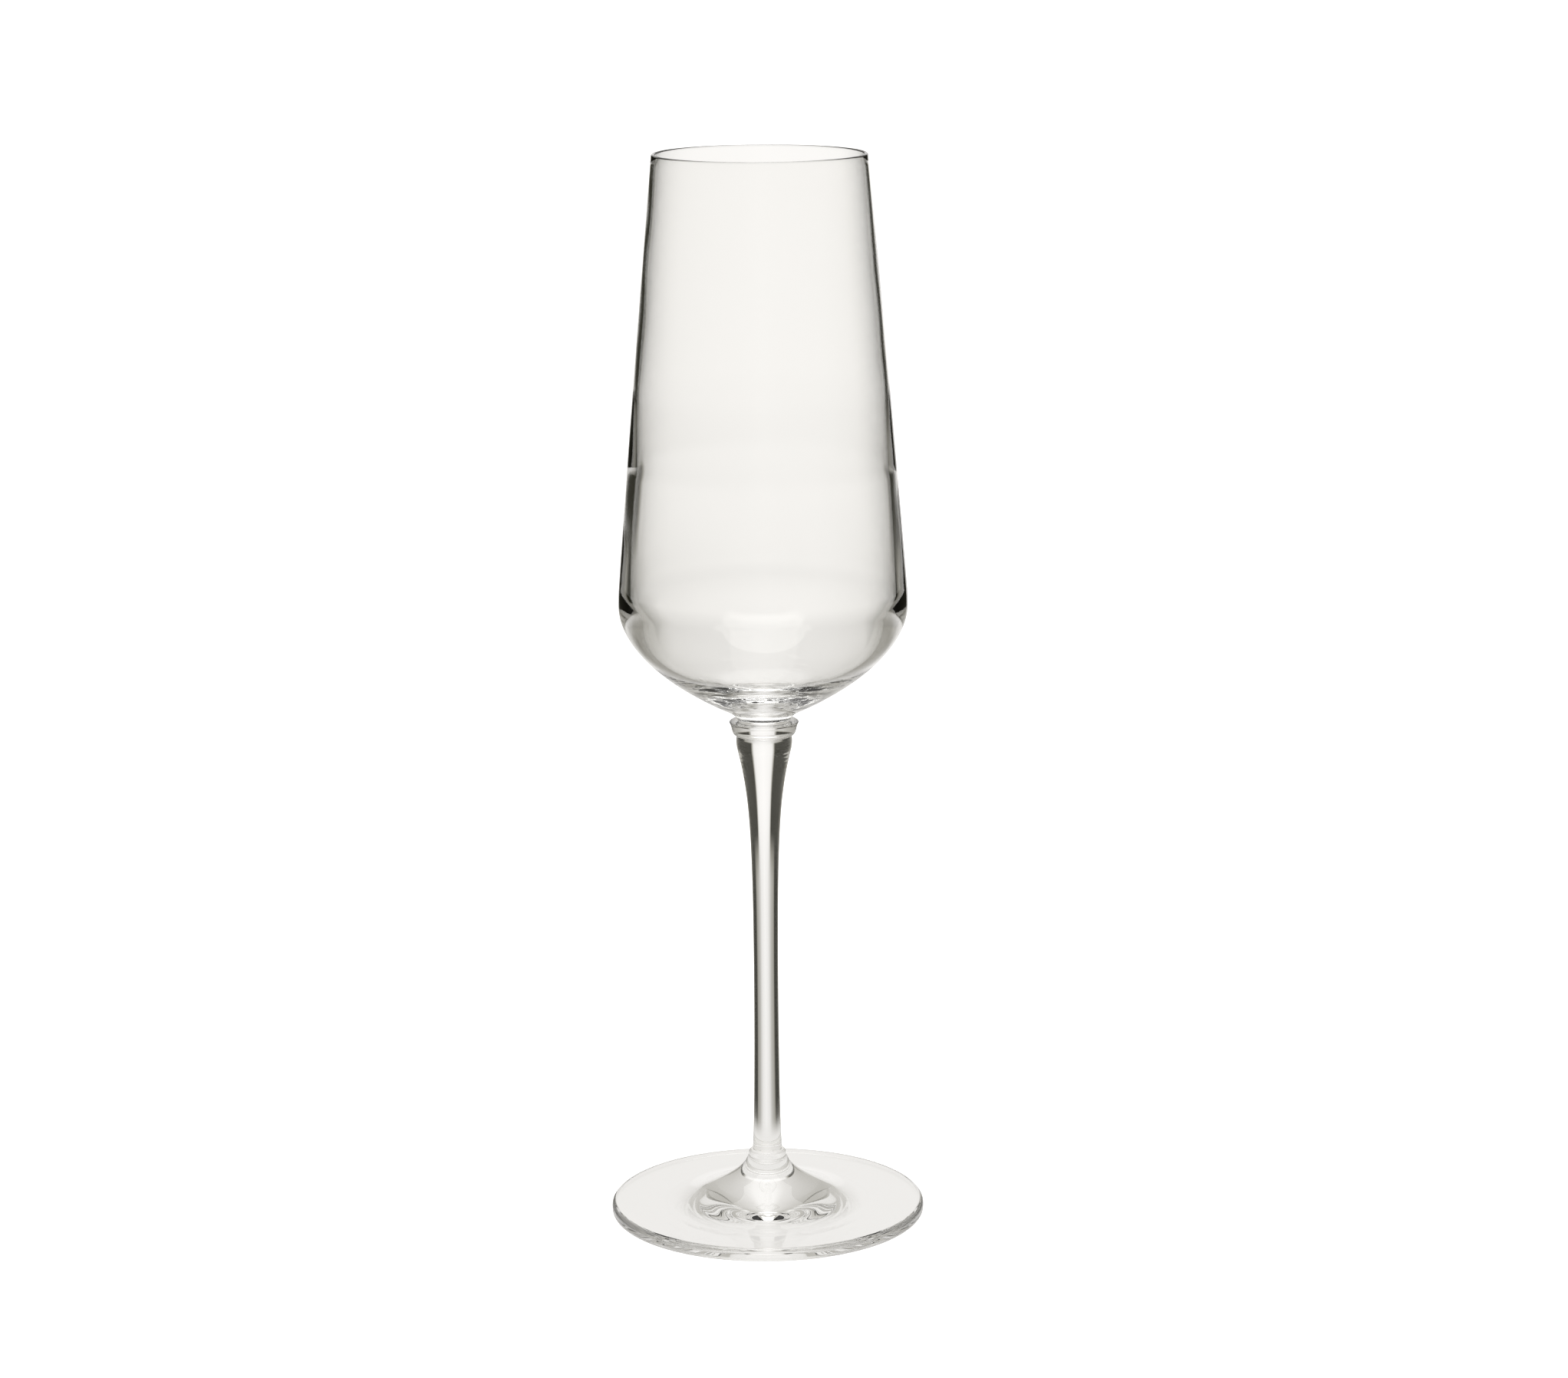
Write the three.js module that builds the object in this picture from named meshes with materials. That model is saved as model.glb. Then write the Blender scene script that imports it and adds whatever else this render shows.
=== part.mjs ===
// Champagne flute of clear glass. Millimetres, +Z up, standing on z = 0 with its axis on Z.
// Four pieces of glass are fused end to end: foot, stem, collar and bowl. Each is turned about Z
// from an outline of radius against height, and a small gap marks each fused joint.

import * as THREE from 'three';

// Overall
const HEIGHT = 240;
const JOINT_GAP = 0.3;

// Foot: a pressed disc, hollowed a little underneath, that rises in a cone to a hub for the stem
const FOOT_RADIUS = 35.5;
const FOOT_EDGE_THICKNESS = 3;
const FOOT_EDGE_ROUND = 1.2;
const FOOT_REST_INNER_RADIUS = 23.5;
const HOLLOW_RADIUS = 16.5;
const HOLLOW_EDGE_HEIGHT = 0.35;
const HOLLOW_HEIGHT = 0.8;
const CONE_EDGE = [23, 3.2];
const CONE_FILLET = [18, 3.5];
const CONE_FOOT = [14.5, 5.4];
const CONE_SKIRT = [10.5, 7.57];
const CONE_WAIST = [5.6, 8.9];
const HUB_RADIUS = 4.25;
const HUB_HEIGHT = 13.5;
const FOOT_TOP = 14.5;

// Stem: a solid rod with a slim waist and a trumpet top
const STEM_BOTTOM = FOOT_TOP + JOINT_GAP;
const STEM_BOTTOM_RADIUS = 3.4;
const STEM_TAPER = [2.85, 21];
const STEM_WAIST_RADIUS = 2.76;
const STEM_WAIST_HEIGHT = 54;
const STEM_WAIST_START = 43.5;
const STEM_WAIST_END = 90.3;
const TRUMPET_THROAT = [3.62, 98];
const TRUMPET_RADIUS = 5.94;
const TRUMPET_HEIGHT = 107.5;
const STEM_BULGE = [6.5, 109.8];
const STEM_TOP_RADIUS = 6.15;
const STEM_TOP = 110.9;

// Collar: the ring that takes the bowl, flaring to a crisp top edge over a groove at the stem
const COLLAR_BOTTOM = STEM_TOP + JOINT_GAP;
const COLLAR_BOTTOM_RADIUS = 6.3;
const COLLAR_FLARE = [6.95, 112.4];
const COLLAR_RADIUS = 7.7;
const COLLAR_EDGE_HEIGHT = 114;
const COLLAR_TOP_RADIUS = 7.5;
const COLLAR_TOP = 114.3;

// Bowl: outside
const BOWL_BOTTOM = COLLAR_TOP + JOINT_GAP;
const NECK_RADIUS = 5.8;
const NECK_CURVE = [6.2, 115.8];
const NECK_TOP_RADIUS = 8.4;
const NECK_TOP = 116.9;
const BOWL_BASE = [29, 126.9];
const BOWL_TURN_HEIGHT = 136.2;
const BOWL_RADIUS = 32.05;
const BOWL_WIDEST_HEIGHT = 140.8;
const SHOULDER_BEND_HEIGHT = 143.2;
const SHOULDER_RADIUS = 31.8;
const SHOULDER_TOP = 146;
const RIM_RADIUS = 23.55;
const SIDE_BOW_RADIUS = 27.92;
const SIDE_BOW_HEIGHT = 193;

// Bowl: inside
const RIM_WALL = 0.8;
const THIN_WALL_END = [27.2, 188];
const WALL_SWELL = [27.6, 180];
const THICK_WALL_START = [27.85, 171];
const CAVITY_SIDE = [29.1, 157];
const CAVITY_WIDEST = [29.5, 144.5];
const CAVITY_TURN = [29.74, 137];
const CAVITY_FLOOR_RADIUS = 24;
const CAVITY_BOTTOM = 122;

// Facets: steps on each curve of an outline, and facets round the axis
const CURVE_STEPS = 8;
const BEND_STEPS = 4;
const FINE_CURVE_STEPS = 14;
const BOWL_FACETS = 48;
const FOOT_FACETS = 64;
const STEM_FACETS = 32;

function glassMaterial() {
  return new THREE.MeshStandardMaterial({
    color: 0xe9ece8,
    roughness: 0.03,
    metalness: 0,
    transparent: true,
    opacity: 0.35,
  });
}

// Joins the points of successive curves into one outline, without doubled points.
function outlineOf(...curves) {
  const points = [];
  for (const { curve, steps } of curves) {
    for (const point of curve.getPoints(steps)) {
      const last = points[points.length - 1];
      if (!last || last.distanceTo(point) > 0.01) points.push(point);
    }
  }
  return points;
}

function line(from, to) {
  const curve = new THREE.LineCurve(new THREE.Vector2(...from), new THREE.Vector2(...to));
  return { curve, steps: 1 };
}

function bend(from, control, to, steps = CURVE_STEPS) {
  const [start, middle, end] = [from, control, to].map((point) => new THREE.Vector2(...point));
  return { curve: new THREE.QuadraticBezierCurve(start, middle, end), steps };
}

function sweep(from, controlA, controlB, to, steps = FINE_CURVE_STEPS) {
  const corners = [from, controlA, controlB, to].map((point) => new THREE.Vector2(...point));
  return { curve: new THREE.CubicBezierCurve(...corners), steps };
}

function arc(centre, radius, startAngle, endAngle, steps = CURVE_STEPS) {
  const [x, y] = centre;
  const curve = new THREE.EllipseCurve(x, y, radius, radius, startAngle, endAngle);
  return { curve, steps };
}

// Turns an outline that starts and ends on the axis. LatheGeometry turns about Y, so the result
// is tipped up to stand on Z.
function turn(name, points, facets) {
  const geometry = new THREE.LatheGeometry(points, facets);
  geometry.rotateX(Math.PI / 2);
  const mesh = new THREE.Mesh(geometry, glassMaterial());
  mesh.name = name;
  return mesh;
}

function makeFoot() {
  const edgeCentre = FOOT_RADIUS - FOOT_EDGE_ROUND;
  const points = outlineOf(
    bend([0, HOLLOW_HEIGHT], [HOLLOW_RADIUS / 2, HOLLOW_HEIGHT], [HOLLOW_RADIUS, HOLLOW_EDGE_HEIGHT]),
    line([HOLLOW_RADIUS, HOLLOW_EDGE_HEIGHT], [FOOT_REST_INNER_RADIUS, 0]),
    arc([edgeCentre, FOOT_EDGE_ROUND], FOOT_EDGE_ROUND, -Math.PI / 2, 0, BEND_STEPS),
    arc([edgeCentre, FOOT_EDGE_THICKNESS - FOOT_EDGE_ROUND], FOOT_EDGE_ROUND, 0, Math.PI / 2, BEND_STEPS),
    line([edgeCentre, FOOT_EDGE_THICKNESS], CONE_EDGE),
    bend(CONE_EDGE, CONE_FILLET, CONE_FOOT),
    sweep(CONE_FOOT, CONE_SKIRT, CONE_WAIST, [HUB_RADIUS, HUB_HEIGHT]),
    bend([HUB_RADIUS, HUB_HEIGHT], [HUB_RADIUS, FOOT_TOP], [STEM_BOTTOM_RADIUS, FOOT_TOP], BEND_STEPS),
    line([STEM_BOTTOM_RADIUS, FOOT_TOP], [0, FOOT_TOP]),
  );
  return turn('foot', points, FOOT_FACETS);
}

function makeStem() {
  const bottom = [STEM_BOTTOM_RADIUS, STEM_BOTTOM];
  const waist = [STEM_WAIST_RADIUS, STEM_WAIST_HEIGHT];
  const trumpet = [TRUMPET_RADIUS, TRUMPET_HEIGHT];
  const points = outlineOf(
    line([0, STEM_BOTTOM], bottom),
    sweep(bottom, STEM_TAPER, [STEM_WAIST_RADIUS, STEM_WAIST_START], waist, CURVE_STEPS),
    sweep(waist, [STEM_WAIST_RADIUS, STEM_WAIST_END], TRUMPET_THROAT, trumpet),
    bend(trumpet, STEM_BULGE, [STEM_TOP_RADIUS, STEM_TOP], BEND_STEPS),
    line([STEM_TOP_RADIUS, STEM_TOP], [0, STEM_TOP]),
  );
  return turn('stem', points, STEM_FACETS);
}

function makeCollar() {
  const edge = [COLLAR_RADIUS, COLLAR_EDGE_HEIGHT];
  const points = outlineOf(
    line([0, COLLAR_BOTTOM], [COLLAR_BOTTOM_RADIUS, COLLAR_BOTTOM]),
    bend([COLLAR_BOTTOM_RADIUS, COLLAR_BOTTOM], COLLAR_FLARE, edge, BEND_STEPS),
    bend(edge, [COLLAR_RADIUS, COLLAR_TOP], [COLLAR_TOP_RADIUS, COLLAR_TOP], BEND_STEPS),
    line([COLLAR_TOP_RADIUS, COLLAR_TOP], [0, COLLAR_TOP]),
  );
  return turn('collar', points, STEM_FACETS);
}

function makeBowl() {
  const neckTop = [NECK_TOP_RADIUS, NECK_TOP];
  const widest = [BOWL_RADIUS, BOWL_WIDEST_HEIGHT];
  const shoulder = [SHOULDER_RADIUS, SHOULDER_TOP];
  const lipRound = RIM_WALL / 2;
  const lipCentre = [RIM_RADIUS - lipRound, HEIGHT - lipRound];
  const outerLip = [RIM_RADIUS, HEIGHT - lipRound];
  const innerLip = [RIM_RADIUS - RIM_WALL, HEIGHT - lipRound];
  const points = outlineOf(
    line([0, BOWL_BOTTOM], [NECK_RADIUS, BOWL_BOTTOM]),
    bend([NECK_RADIUS, BOWL_BOTTOM], NECK_CURVE, neckTop, BEND_STEPS),
    sweep(neckTop, BOWL_BASE, [BOWL_RADIUS, BOWL_TURN_HEIGHT], widest),
    bend(widest, [BOWL_RADIUS, SHOULDER_BEND_HEIGHT], shoulder, BEND_STEPS),
    bend(shoulder, [SIDE_BOW_RADIUS, SIDE_BOW_HEIGHT], outerLip),
    arc(lipCentre, lipRound, 0, Math.PI),
    line(innerLip, THIN_WALL_END),
    bend(THIN_WALL_END, WALL_SWELL, THICK_WALL_START, BEND_STEPS),
    bend(THICK_WALL_START, CAVITY_SIDE, CAVITY_WIDEST, BEND_STEPS),
    sweep(CAVITY_WIDEST, CAVITY_TURN, [CAVITY_FLOOR_RADIUS, CAVITY_BOTTOM], [0, CAVITY_BOTTOM]),
  );
  return turn('bowl', points, BOWL_FACETS);
}

const flute = new THREE.Group();
flute.add(makeFoot(), makeStem(), makeCollar(), makeBowl());

export default flute;
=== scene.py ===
"""Champagne flute of clear glass, on a plain pale floor, lit from behind between dark cards."""

import math

import bpy
from mathutils import Matrix, Vector, noise


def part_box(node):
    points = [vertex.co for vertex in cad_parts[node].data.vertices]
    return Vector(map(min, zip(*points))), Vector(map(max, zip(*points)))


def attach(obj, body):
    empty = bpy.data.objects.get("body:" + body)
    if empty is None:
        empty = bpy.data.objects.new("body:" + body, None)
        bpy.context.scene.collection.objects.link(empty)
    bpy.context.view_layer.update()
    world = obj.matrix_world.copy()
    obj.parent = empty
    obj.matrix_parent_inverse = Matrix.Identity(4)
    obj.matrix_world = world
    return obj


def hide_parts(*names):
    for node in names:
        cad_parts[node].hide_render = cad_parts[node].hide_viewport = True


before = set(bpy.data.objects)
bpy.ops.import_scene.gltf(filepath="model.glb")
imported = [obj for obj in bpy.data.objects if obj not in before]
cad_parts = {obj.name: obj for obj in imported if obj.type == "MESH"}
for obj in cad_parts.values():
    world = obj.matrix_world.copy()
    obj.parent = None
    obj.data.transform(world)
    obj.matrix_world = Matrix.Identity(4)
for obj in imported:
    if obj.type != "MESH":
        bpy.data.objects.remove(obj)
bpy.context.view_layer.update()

MM = 0.001

# ---------------------------------------------------------------- sizes, in millimetres
# The pieces' places come from the CAD nodes' boxes. The gap that CAD leaves at each fused joint is
# closed here: neighbouring pieces meet on one plane, halfway across it.


def top_mm(node):
    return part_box(node)[1][2] / MM


def bottom_mm(node):
    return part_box(node)[0][2] / MM


def radius_mm(node):
    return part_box(node)[1][0] / MM


RIM_HEIGHT = top_mm("bowl")
FOOT_JOINT = (top_mm("foot") + bottom_mm("stem")) / 2
STEM_JOINT = (top_mm("stem") + bottom_mm("collar")) / 2
COLLAR_JOINT = (top_mm("collar") + bottom_mm("bowl")) / 2

FOOT_JOINT_RADIUS = 3.4
STEM_JOINT_RADIUS = 6.1
COLLAR_JOINT_RADIUS = 5.8

# Foot
FOOT_RADIUS = radius_mm("foot")
FOOT_EDGE_THICKNESS = 3.0
FOOT_EDGE_ROUND = 1.2
REST_INNER_RADIUS = 23.5
HOLLOW_RADIUS = 16.5
HOLLOW_EDGE_HEIGHT = 0.35
HOLLOW_HEIGHT = 0.8
CONE_EDGE = (23.0, 3.2)
CONE_FILLET = (18.0, 3.5)
CONE_FOOT = (14.5, 5.4)
CONE_SKIRT = (10.5, 7.57)
CONE_WAIST = (5.6, 8.9)
HUB_RADIUS = 4.25
HUB_HEIGHT = 13.5

# Stem
STEM_TAPER = (2.85, 21)
WAIST_RADIUS = 2.76
WAIST_HEIGHT = 54.0
WAIST_START = 43.5
WAIST_END = 90.3
TRUMPET_THROAT = (3.62, 98)
TRUMPET = (5.94, 107.5)
STEM_BULGE = (6.5, 109.8)

# Collar
COLLAR_RADIUS = radius_mm("collar")
COLLAR_GROOVE = (6.75, 111.3)
COLLAR_NECK = (7.05, 111.9)
COLLAR_FLARE = (7.25, 112.9)
COLLAR_EDGE_HEIGHT = 114.1
COLLAR_TOP = (7.5, 114.33)

# Bowl, outside
NECK_CURVE = (6.2, 115.8)
NECK_TOP = (8.4, 116.9)
BOWL_BASE = (29.0, 126.9)
BOWL_TURN_HEIGHT = 136.2
BOWL_RADIUS = radius_mm("bowl")
WIDEST_HEIGHT = 140.8
SHOULDER_BEND_HEIGHT = 143.2
SHOULDER = (31.8, 146)
SIDE_BOW = (27.92, 193)
RIM_RADIUS = 23.55

# Bowl, inside
RIM_WALL = 0.8
THIN_WALL_END = (27.2, 188)
WALL_SWELL = (27.6, 180)
THICK_WALL_START = (27.85, 171)
CAVITY_SIDE = (29.1, 157)
CAVITY_WIDEST = (29.5, 144.5)
CAVITY_TURN = (29.74, 137)
CAVITY_FLOOR_RADIUS = 24.0
CAVITY_BOTTOM = 122.0

FACETS = 192
SAME_POINT = 1e-4

# ---------------------------------------------------------------- outlines


def line(start, end, steps=1):
    return [
        (start[0] + (end[0] - start[0]) * i / steps, start[1] + (end[1] - start[1]) * i / steps)
        for i in range(steps + 1)
    ]


def bend(start, control, end, steps=10):
    """A quadratic curve."""
    points = []
    for i in range(steps + 1):
        t = i / steps
        a, b, c = (1 - t) ** 2, 2 * t * (1 - t), t * t
        points.append(tuple(a * start[k] + b * control[k] + c * end[k] for k in (0, 1)))
    return points


def sweep(start, control_a, control_b, end, steps=36):
    """A cubic curve."""
    points = []
    for i in range(steps + 1):
        t = i / steps
        w = ((1 - t) ** 3, 3 * t * (1 - t) ** 2, 3 * t * t * (1 - t), t ** 3)
        corners = (start, control_a, control_b, end)
        points.append(tuple(sum(w[j] * corners[j][k] for j in range(4)) for k in (0, 1)))
    return points


def arc(centre, radius, start_angle, end_angle, steps=10):
    points = []
    for i in range(steps + 1):
        angle = start_angle + (end_angle - start_angle) * i / steps
        points.append((centre[0] + radius * math.cos(angle), centre[1] + radius * math.sin(angle)))
    return points


def foot_outline():
    edge = FOOT_RADIUS - FOOT_EDGE_ROUND
    hollow_edge = (HOLLOW_RADIUS, HOLLOW_EDGE_HEIGHT)
    rest = (REST_INNER_RADIUS, 0)
    top_centre = (edge, FOOT_EDGE_THICKNESS - FOOT_EDGE_ROUND)
    hub = (HUB_RADIUS, HUB_HEIGHT)
    joint = (FOOT_JOINT_RADIUS, FOOT_JOINT)
    surface = [
        bend((0, HOLLOW_HEIGHT), (HOLLOW_RADIUS / 2, HOLLOW_HEIGHT), hollow_edge, 50),
        line(hollow_edge, rest, 12),
        line(rest, (edge, 0), 12),
        arc((edge, FOOT_EDGE_ROUND), FOOT_EDGE_ROUND, -math.pi / 2, 0),
        arc(top_centre, FOOT_EDGE_ROUND, 0, math.pi / 2),
        line((edge, FOOT_EDGE_THICKNESS), CONE_EDGE, 24),
        bend(CONE_EDGE, CONE_FILLET, CONE_FOOT, 24),
        sweep(CONE_FOOT, CONE_SKIRT, CONE_WAIST, hub, 90),
        bend(hub, (HUB_RADIUS, FOOT_JOINT), joint, 20),
    ]
    return None, surface, joint


def stem_outline():
    waist = (WAIST_RADIUS, WAIST_HEIGHT)
    bottom = (FOOT_JOINT_RADIUS, FOOT_JOINT)
    top = (STEM_JOINT_RADIUS, STEM_JOINT)
    surface = [
        sweep(bottom, STEM_TAPER, (WAIST_RADIUS, WAIST_START), waist, 60),
        sweep(waist, (WAIST_RADIUS, WAIST_END), TRUMPET_THROAT, TRUMPET, 110),
        bend(TRUMPET, STEM_BULGE, top, 24),
    ]
    return bottom, surface, top


def collar_outline():
    """It flares to a crisp top edge, over a groove at the stem."""
    bottom = (STEM_JOINT_RADIUS, STEM_JOINT)
    edge = (COLLAR_RADIUS, COLLAR_EDGE_HEIGHT)
    top = (COLLAR_JOINT_RADIUS, COLLAR_JOINT)
    surface = [
        bend(bottom, COLLAR_GROOVE, COLLAR_NECK, 12),
        bend(COLLAR_NECK, COLLAR_FLARE, edge, 12),
        bend(edge, (COLLAR_RADIUS, COLLAR_TOP[1]), COLLAR_TOP, 5),
        line(COLLAR_TOP, top, 6),
    ]
    return bottom, surface, top


def bowl_outline():
    bottom = (COLLAR_JOINT_RADIUS, COLLAR_JOINT)
    widest = (BOWL_RADIUS, WIDEST_HEIGHT)
    lip = RIM_WALL / 2
    outer_lip = (RIM_RADIUS, RIM_HEIGHT - lip)
    inner_lip = (RIM_RADIUS - RIM_WALL, RIM_HEIGHT - lip)
    cavity_floor = (CAVITY_FLOOR_RADIUS, CAVITY_BOTTOM)
    surface = [
        bend(bottom, NECK_CURVE, NECK_TOP, 16),
        sweep(NECK_TOP, BOWL_BASE, (BOWL_RADIUS, BOWL_TURN_HEIGHT), widest, 110),
        bend(widest, (BOWL_RADIUS, SHOULDER_BEND_HEIGHT), SHOULDER, 14),
        bend(SHOULDER, SIDE_BOW, outer_lip, 50),
        arc((RIM_RADIUS - lip, RIM_HEIGHT - lip), lip, 0, math.pi, 12),
        line(inner_lip, THIN_WALL_END, 24),
        bend(THIN_WALL_END, WALL_SWELL, THICK_WALL_START, 12),
        bend(THICK_WALL_START, CAVITY_SIDE, CAVITY_WIDEST, 30),
        sweep(CAVITY_WIDEST, CAVITY_TURN, cavity_floor, (0, CAVITY_BOTTOM), 100),
    ]
    return bottom, surface, None


# ---------------------------------------------------------------- meshes


def joined(curves):
    points = []
    for curve in curves:
        for point in curve:
            if not points or math.dist(points[-1], point) > SAME_POINT:
                points.append(point)
    return points


def normals_of(points):
    """The outward normal at each point of an outline."""
    normals = []
    for i in range(len(points)):
        before, after = points[max(i - 1, 0)], points[min(i + 1, len(points) - 1)]
        along = Vector((after[0] - before[0], after[1] - before[1])).normalized()
        normals.append((along.y, -along.x))
    return normals


# Slow waves left by blowing and pressing, and bands of fine rings where a tool shaped the hot glass:
# each band is its lowest and highest height, the depth of its rings and the pitch between them. The
# rings vary in depth round the glass, and wander up and down, at two noise frequencies per millimetre.
WAVE_DEPTH = 0.03
WAVE_LENGTH = 14.0
TOOL_MARKS = (
    (103.5, 110.6, 0.018, 1.1),
    (116.0, 124.5, 0.045, 2.3),
)
CALM_MARGIN = 1.2
RING_MEAN_DEPTH = 0.55
RING_DEPTH_RANGE = 0.9
RING_DEPTH_FREQUENCY = 0.35
RING_WANDER = 0.5
RING_WANDER_FREQUENCY = 0.22


def relief(radius, angle, height):
    """How far the surface strays outwards from its outline, in millimetres."""
    place = Vector((radius * math.cos(angle), radius * math.sin(angle), height))
    depth = WAVE_DEPTH * noise.noise(place / WAVE_LENGTH)
    for low, high, mark_depth, pitch in TOOL_MARKS:
        if low < height < high:
            fade = math.sin(math.pi * (height - low) / (high - low))
            uneven = RING_MEAN_DEPTH + RING_DEPTH_RANGE * noise.noise(place * RING_DEPTH_FREQUENCY)
            wander = RING_WANDER * noise.noise(place * RING_WANDER_FREQUENCY)
            phase = (radius + height) / pitch + wander
            depth += mark_depth * fade * uneven * math.sin(2 * math.pi * phase)
    return depth


def calm(points, i):
    """Fades the relief out towards a joint, and on the ring that the glass stands on."""
    nearest = min(math.dist(points[i], points[0]), math.dist(points[i], points[-1]), points[i][1])
    return min(1.0, max(0.0, nearest / CALM_MARGIN))


def turned(name, outline):
    """A closed solid of revolution. Its joint faces, where it is fused to its neighbours, are flat
    discs in the second material; the rest is its glass surface."""
    below, curves, above = outline
    points = joined(curves)
    normals = normals_of(points)
    verts, faces, slots = [], [], []

    def pole(height):
        verts.append((0, 0, height * MM))
        return [len(verts) - 1]

    def ring(i):
        (radius, height), (out, up) = points[i], normals[i]
        steady = calm(points, i)
        start = len(verts)
        for k in range(FACETS):
            angle = 2 * math.pi * k / FACETS
            stray = steady * relief(radius, angle, height)
            r = radius + out * stray
            verts.append((r * math.cos(angle) * MM, r * math.sin(angle) * MM, (height + up * stray) * MM))
        return list(range(start, start + FACETS))

    def bridge(a, b, slot):
        for k in range(FACETS):
            n = (k + 1) % FACETS
            if len(a) == 1:
                faces.append((a[0], b[n], b[k]))
            elif len(b) == 1:
                faces.append((a[k], a[n], b[0]))
            else:
                faces.append((a[k], a[n], b[n], b[k]))
            slots.append(slot)

    rings = [pole(height) if radius < SAME_POINT else ring(i) for i, (radius, height) in enumerate(points)]
    if below:
        bridge(pole(below[1]), rings[0], 1)
    for lower, upper in zip(rings, rings[1:]):
        bridge(lower, upper, 0)
    if above:
        bridge(rings[-1], pole(above[1]), 1)

    mesh = bpy.data.meshes.new(name)
    mesh.from_pydata(verts, [], faces)
    for face, slot in zip(mesh.polygons, slots):
        face.material_index = slot
        face.use_smooth = True
    mark_joint_edges(mesh)
    piece = bpy.data.objects.new(name, mesh)
    bpy.context.collection.objects.link(piece)
    return piece


def mark_joint_edges(mesh):
    """The edge round a joint face is sharp, so that the glass beside it keeps its own normals."""
    slots_at = {}
    for face in mesh.polygons:
        for key in face.edge_keys:
            slots_at.setdefault(key, set()).add(face.material_index)
    for edge in mesh.edges:
        edge.use_edge_sharp = len(slots_at[edge.key]) > 1


# ---------------------------------------------------------------- materials

GLASS_TINT = (0.985, 0.984, 0.974, 1)
GLASS_IOR = 1.51
RIPPLE_SCALE = 55
RIPPLE_DETAIL = 1.5
RIPPLE_STRENGTH = 0.05
RIPPLE_DEPTH = 0.0005


def clear_glass():
    mat = bpy.data.materials.new("clear_glass")
    mat.use_nodes = True
    nodes, links = mat.node_tree.nodes, mat.node_tree.links
    shader = nodes["Principled BSDF"]
    shader.inputs["Base Color"].default_value = GLASS_TINT
    shader.inputs["Roughness"].default_value = 0.0
    shader.inputs["IOR"].default_value = GLASS_IOR
    shader.inputs["Transmission Weight"].default_value = 1.0
    place = nodes.new("ShaderNodeTexCoord")
    waves = nodes.new("ShaderNodeTexNoise")
    waves.inputs["Scale"].default_value = RIPPLE_SCALE
    waves.inputs["Detail"].default_value = RIPPLE_DETAIL
    bump = nodes.new("ShaderNodeBump")
    bump.inputs["Strength"].default_value = RIPPLE_STRENGTH
    bump.inputs["Distance"].default_value = RIPPLE_DEPTH
    links.new(place.outputs["Object"], waves.inputs["Vector"])
    links.new(waves.outputs["Fac"], bump.inputs["Height"])
    links.new(bump.outputs["Normal"], shader.inputs["Normal"])
    return mat


def fused_joint():
    """Inside the fused glass nothing shows where two pieces meet."""
    mat = bpy.data.materials.new("fused_joint")
    mat.use_nodes = True
    nodes, links = mat.node_tree.nodes, mat.node_tree.links
    nodes.clear()
    see_through = nodes.new("ShaderNodeBsdfTransparent")
    output = nodes.new("ShaderNodeOutputMaterial")
    links.new(see_through.outputs["BSDF"], output.inputs["Surface"])
    return mat


# ---------------------------------------------------------------- the glass

GLASS = clear_glass()
JOINT = fused_joint()

for node, outline in (
    ("foot", foot_outline()),
    ("stem", stem_outline()),
    ("collar", collar_outline()),
    ("bowl", bowl_outline()),
):
    piece = turned("glass_" + node, outline)
    piece.data.materials.append(GLASS)
    piece.data.materials.append(JOINT)
    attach(piece, "root")
    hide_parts(node)

# ---------------------------------------------------------------- floor

FLOOR_SIZE = 30.0
FLOOR_DROP = 0.0002
FLOOR_COLOR = (0.9, 0.9, 0.895, 1)
FLOOR_GLOW = 0.8
# Painted light: through the glass and in its reflections, the floor under the foot is a glowing emission
# disc. This painted pool of light fades out between these two radii.
PAINTED_GLOW_RADIUS = 0.042
PAINTED_GLOW_FADE_OUT = PAINTED_GLOW_RADIUS * 1.5
PAINTED_GLOW_LEVEL = 0.85
PAINTED_GLOW_COLOR = (1.0, 0.985, 0.966, 1)


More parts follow.
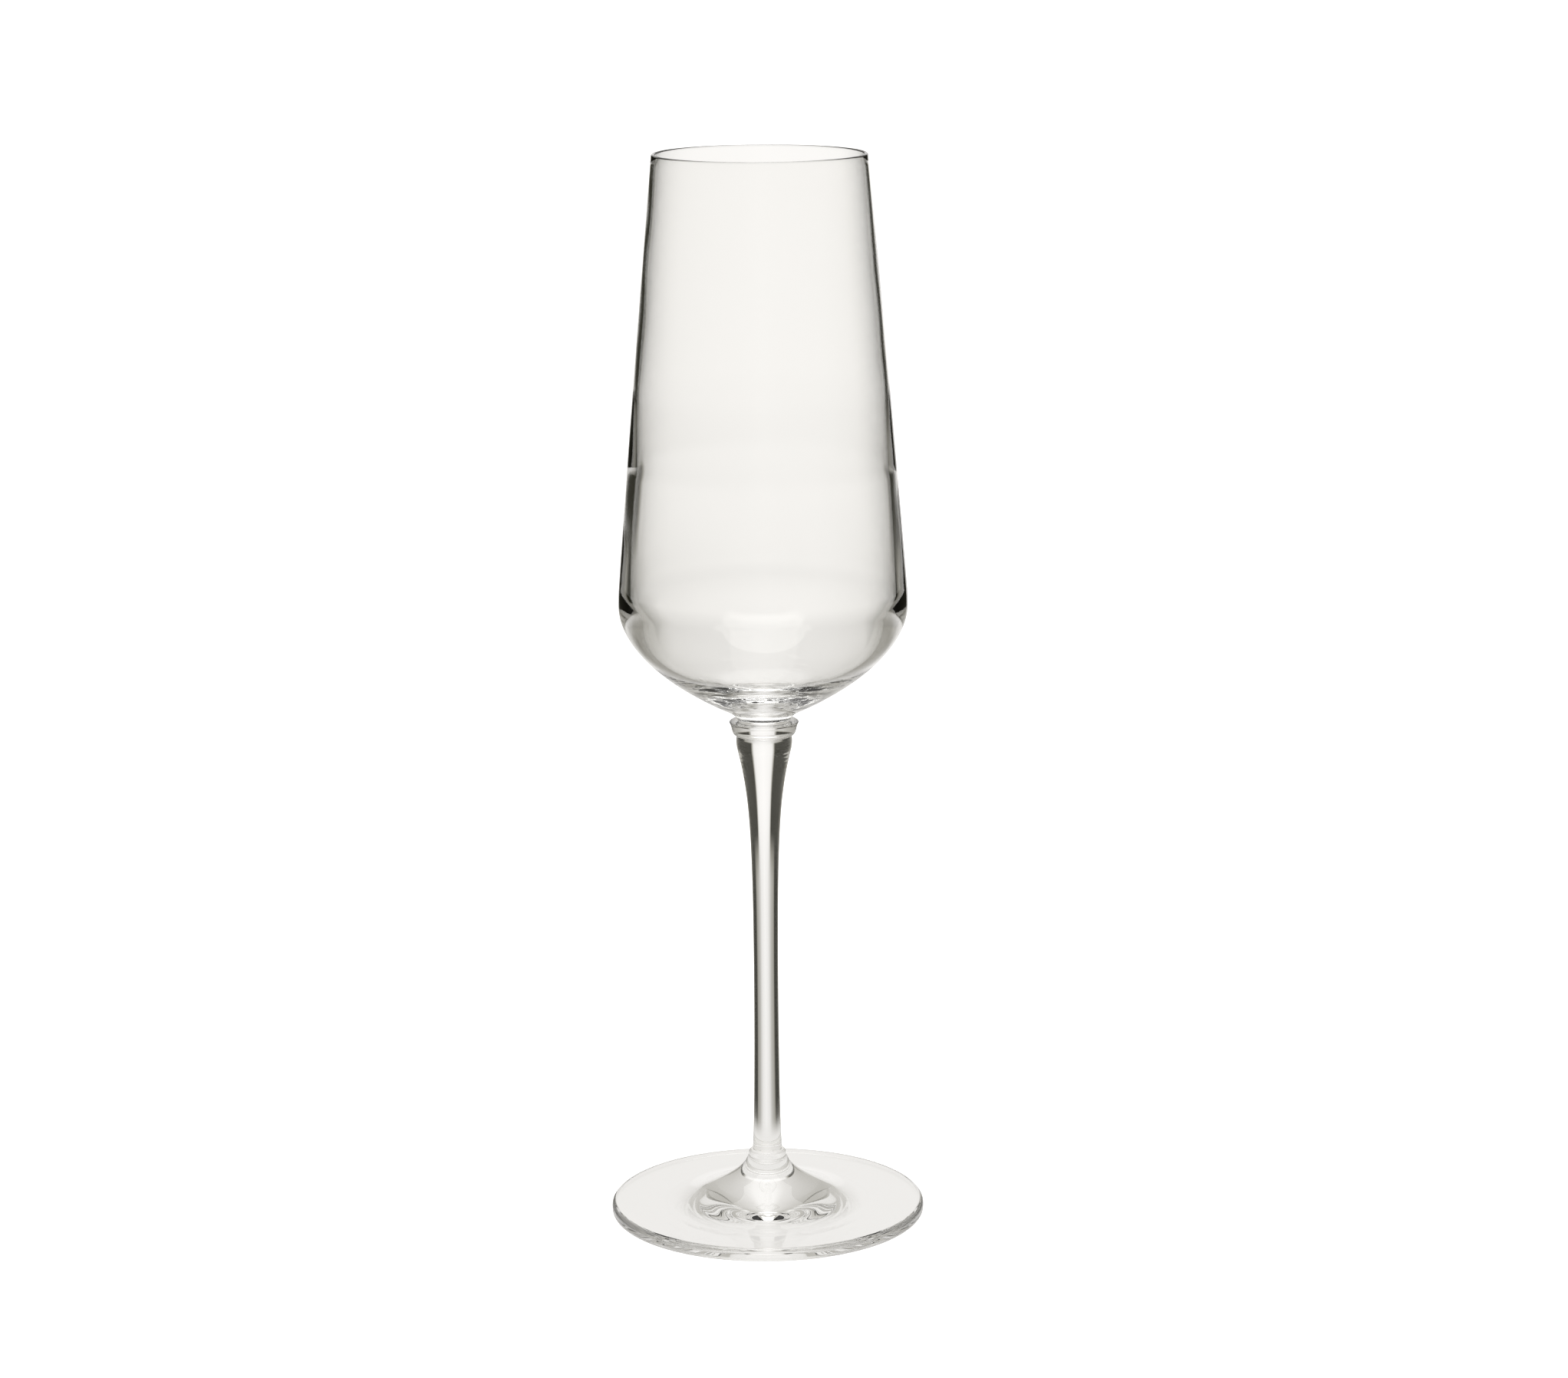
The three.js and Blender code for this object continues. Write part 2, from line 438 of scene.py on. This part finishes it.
def floor_material():
    """Looked at directly, a plain pale floor. Through the glass, and in its reflections, it is a disc
    under the foot painted with a glowing emission, a painted pool of light that fades out, and past the
    disc the studio shows."""
    mat = bpy.data.materials.new("pale_floor")
    mat.use_nodes = True
    nodes, links = mat.node_tree.nodes, mat.node_tree.links
    shader = nodes["Principled BSDF"]
    shader.inputs["Base Color"].default_value = FLOOR_COLOR
    shader.inputs["Roughness"].default_value = 0.9
    shader.inputs["Specular IOR Level"].default_value = 0.1
    shader.inputs["Emission Color"].default_value = (1, 1, 1, 1)
    shader.inputs["Emission Strength"].default_value = FLOOR_GLOW
    output = nodes["Material Output"]
    place = nodes.new("ShaderNodeTexCoord")
    length = nodes.new("ShaderNodeVectorMath")
    length.operation = "LENGTH"
    painted_glow_fade = nodes.new("ShaderNodeMapRange")
    painted_glow_fade.interpolation_type = "SMOOTHSTEP"
    painted_glow_fade.inputs["From Min"].default_value = PAINTED_GLOW_RADIUS
    painted_glow_fade.inputs["From Max"].default_value = PAINTED_GLOW_FADE_OUT
    path = nodes.new("ShaderNodeLightPath")
    # Painted light: an emission that paints a glowing pool of light on the floor under the foot, seen only
    # through the glass and in its reflections.
    painted_glow = nodes.new("ShaderNodeEmission")
    painted_glow.inputs["Color"].default_value = PAINTED_GLOW_COLOR
    painted_glow.inputs["Strength"].default_value = PAINTED_GLOW_LEVEL
    clear = nodes.new("ShaderNodeBsdfTransparent")
    behind_glass = nodes.new("ShaderNodeMixShader")
    mix = nodes.new("ShaderNodeMixShader")
    links.new(place.outputs["Object"], length.inputs[0])
    links.new(length.outputs["Value"], painted_glow_fade.inputs["Value"])
    links.new(painted_glow_fade.outputs["Result"], behind_glass.inputs["Fac"])
    links.new(painted_glow.outputs["Emission"], behind_glass.inputs[1])
    links.new(clear.outputs["BSDF"], behind_glass.inputs[2])
    links.new(path.outputs["Is Camera Ray"], mix.inputs["Fac"])
    links.new(behind_glass.outputs["Shader"], mix.inputs[1])
    links.new(shader.outputs["BSDF"], mix.inputs[2])
    links.new(mix.outputs["Shader"], output.inputs["Surface"])
    return mat


def make_floor():
    half = FLOOR_SIZE / 2
    mesh = bpy.data.meshes.new("floor")
    corners = [(-half, -half, 0), (half, -half, 0), (half, half, 0), (-half, half, 0)]
    mesh.from_pydata(corners, [], [(0, 1, 2, 3)])
    floor = bpy.data.objects.new("floor", mesh)
    floor.location.z = -FLOOR_DROP
    bpy.context.collection.objects.link(floor)
    mesh.materials.append(floor_material())


make_floor()

# ---------------------------------------------------------------- light

# What stands round the glass, as brightness against bearing: degrees to either side of the light
# behind it. Dark cards stand at both sides of that light, and the rear is grey. Each band covers a
# range of heights, given as degrees of rise above the horizon. The glass refracts and reflects this
# studio, and the camera sees a plain white backdrop in its place.
ABOVE_CARDS = ((0, 0.90), (6, 0.87), (12, 0.70), (36, 0.46), (60, 0.45), (180, 0.65))
BESIDE_BOWL = (
    (0, 1.0), (10, 0.95), (14, 0.85), (18, 0.02), (46, 0.02), (56, 0.08), (80, 0.40), (180, 0.60),
)
BESIDE_STEM = (
    (0, 1.0), (10, 0.90), (20, 0.52), (30, 0.34), (36, 0.0), (56, 0.0), (84, 0.42), (180, 0.60),
)
BELOW_CARDS = ((0, 1.0), (12, 0.88), (20, 0.56), (30, 0.36), (70, 0.38), (180, 0.65))
LIGHT_BEARING = -2.0
CARD_TOP = 8.0
CARD_STEP = -12.0
CARD_BOTTOM = -21.0
CARD_EDGE_FADE = 1.8
STUDIO_STRENGTH = 1.04
# Rise, and how much of the studio's strength is left there: it dims a little below the horizon.
LOW_LIGHT = (-22.0, 0.86)
HIGH_LIGHT = (-8.0, 1.0)
DARK_COLOR = (0.012, 0.0115, 0.006)
GREY_COLOR = (0.30, 0.288, 0.250)
LIGHT_COLOR = (1.0, 0.985, 0.972)
BACKDROP_STRENGTH = 1.05


def studio():
    world = bpy.data.worlds.new("studio")
    bpy.context.scene.world = world
    world.use_nodes = True
    nodes, links = world.node_tree.nodes, world.node_tree.links
    nodes.clear()

    def math_node(operation, a, b=None):
        node = nodes.new("ShaderNodeMath")
        node.operation = operation
        for socket, value in zip(node.inputs, (a, b)):
            if value is None:
                continue
            if isinstance(value, (int, float)):
                socket.default_value = value
            else:
                links.new(value, socket)
        return node.outputs["Value"]

    def step(value, low, high):
        node = nodes.new("ShaderNodeMapRange")
        node.interpolation_type = "SMOOTHSTEP"
        node.inputs["From Min"].default_value = low
        node.inputs["From Max"].default_value = high
        links.new(value, node.inputs["Value"])
        return node.outputs["Result"]

    def blend(factor, a, b):
        node = nodes.new("ShaderNodeMix")
        node.data_type = "RGBA"
        factor_socket, a_socket, b_socket = node.inputs[0], node.inputs[6], node.inputs[7]
        links.new(factor, factor_socket)
        for socket, value in ((a_socket, a), (b_socket, b)):
            if isinstance(value, tuple):
                socket.default_value = (*value, 1)
            else:
                links.new(value, socket)
        return node.outputs[2]

    def band(side, stops):
        node = nodes.new("ShaderNodeValToRGB")
        ramp = node.color_ramp
        ramp.interpolation = "LINEAR"
        while len(ramp.elements) < len(stops):
            ramp.elements.new(0.5)
        for element, (degrees, brightness) in zip(ramp.elements, stops):
            element.position = degrees / 180
            element.color = (brightness, brightness, brightness, 1)
        links.new(side, node.inputs["Fac"])
        return node.outputs["Color"]

    place = nodes.new("ShaderNodeTexCoord")
    split = nodes.new("ShaderNodeSeparateXYZ")
    links.new(place.outputs["Generated"], split.inputs["Vector"])
    x, y, z = split.outputs
    to_degrees = 180 / math.pi
    bearing = math_node("MULTIPLY", math_node("ARCTAN2", math_node("MULTIPLY", x, -1.0), y), to_degrees)
    turned_away = math_node("WRAP", math_node("SUBTRACT", bearing, LIGHT_BEARING), 180.0)
    turned_away.node.inputs[2].default_value = -180.0
    side = math_node("DIVIDE", math_node("ABSOLUTE", turned_away), 180.0)
    rise = math_node("MULTIPLY", math_node("ARCSINE", z), to_degrees)

    level = band(side, BELOW_CARDS)
    for height, next_band in (
        (CARD_BOTTOM, BESIDE_STEM), (CARD_STEP, BESIDE_BOWL), (CARD_TOP, ABOVE_CARDS),
    ):
        higher = step(rise, height - CARD_EDGE_FADE, height + CARD_EDGE_FADE)
        level = blend(higher, level, band(side, next_band))
    dim = nodes.new("ShaderNodeMapRange")
    dim.inputs["From Min"].default_value = LOW_LIGHT[0]
    dim.inputs["To Min"].default_value = LOW_LIGHT[1]
    dim.inputs["From Max"].default_value = HIGH_LIGHT[0]
    dim.inputs["To Max"].default_value = HIGH_LIGHT[1]
    links.new(rise, dim.inputs["Value"])
    tone = nodes.new("ShaderNodeValToRGB")
    tone.color_ramp.elements.new(GREY_COLOR[0])
    for element, color in zip(tone.color_ramp.elements, (DARK_COLOR, GREY_COLOR, LIGHT_COLOR)):
        element.color = (*color, 1)
    links.new(level, tone.inputs["Fac"])

    path = nodes.new("ShaderNodeLightPath")
    unseen = nodes.new("ShaderNodeBackground")
    links.new(tone.outputs["Color"], unseen.inputs["Color"])
    strength = math_node("MULTIPLY", dim.outputs["Result"], STUDIO_STRENGTH)
    links.new(strength, unseen.inputs["Strength"])
    seen = nodes.new("ShaderNodeBackground")
    seen.inputs["Strength"].default_value = BACKDROP_STRENGTH
    seen.inputs["Color"].default_value = (1, 1, 1, 1)
    mix = nodes.new("ShaderNodeMixShader")
    output = nodes.new("ShaderNodeOutputWorld")
    links.new(path.outputs["Is Camera Ray"], mix.inputs["Fac"])
    links.new(unseen.outputs["Background"], mix.inputs[1])
    links.new(seen.outputs["Background"], mix.inputs[2])
    links.new(mix.outputs["Shader"], output.inputs["Surface"])


studio()


def softbox(name, place, aim, size, watts):
    light = bpy.data.lights.new(name, "AREA")
    light.shape = "SQUARE"
    light.size = size
    light.energy = watts
    lamp = bpy.data.objects.new(name, light)
    lamp.location = place
    lamp.rotation_euler = (Vector(aim) - Vector(place)).to_track_quat("-Z", "Y").to_euler()
    bpy.context.collection.objects.link(lamp)
    return lamp


softbox("overhead", (0, 0.1, 1.6), (0, 0, 0), 1.4, 8)

# ---------------------------------------------------------------- camera

CAMERA_DISTANCE = 0.888
CAMERA_HEIGHT = 0.3135
CAMERA_PITCH = math.radians(12.2)
CAMERA_YAW = math.radians(0.29)
CAMERA_ROLL = math.radians(-0.40)
LENS = 93.87
SENSOR_WIDTH = 36.0


def make_camera():
    data = bpy.data.cameras.new("camera")
    data.sensor_width = SENSOR_WIDTH
    data.lens = LENS
    camera = bpy.data.objects.new("camera", data)
    forward = Vector((
        math.sin(CAMERA_YAW) * math.cos(CAMERA_PITCH),
        math.cos(CAMERA_YAW) * math.cos(CAMERA_PITCH),
        -math.sin(CAMERA_PITCH),
    ))
    level = Vector((math.cos(CAMERA_YAW), -math.sin(CAMERA_YAW), 0))
    above = level.cross(forward)
    right = math.cos(CAMERA_ROLL) * level + math.sin(CAMERA_ROLL) * above
    up = right.cross(forward)
    turn = Matrix((right, up, -forward)).transposed()
    camera.matrix_world = Matrix.Translation((0, -CAMERA_DISTANCE, CAMERA_HEIGHT)) @ turn.to_4x4()
    bpy.context.collection.objects.link(camera)
    bpy.context.scene.camera = camera


make_camera()

scene = bpy.context.scene
scene.view_settings.view_transform = "Standard"
scene.cycles.max_bounces = 32
scene.cycles.transmission_bounces = 32
scene.cycles.glossy_bounces = 16
scene.cycles.transparent_max_bounces = 32
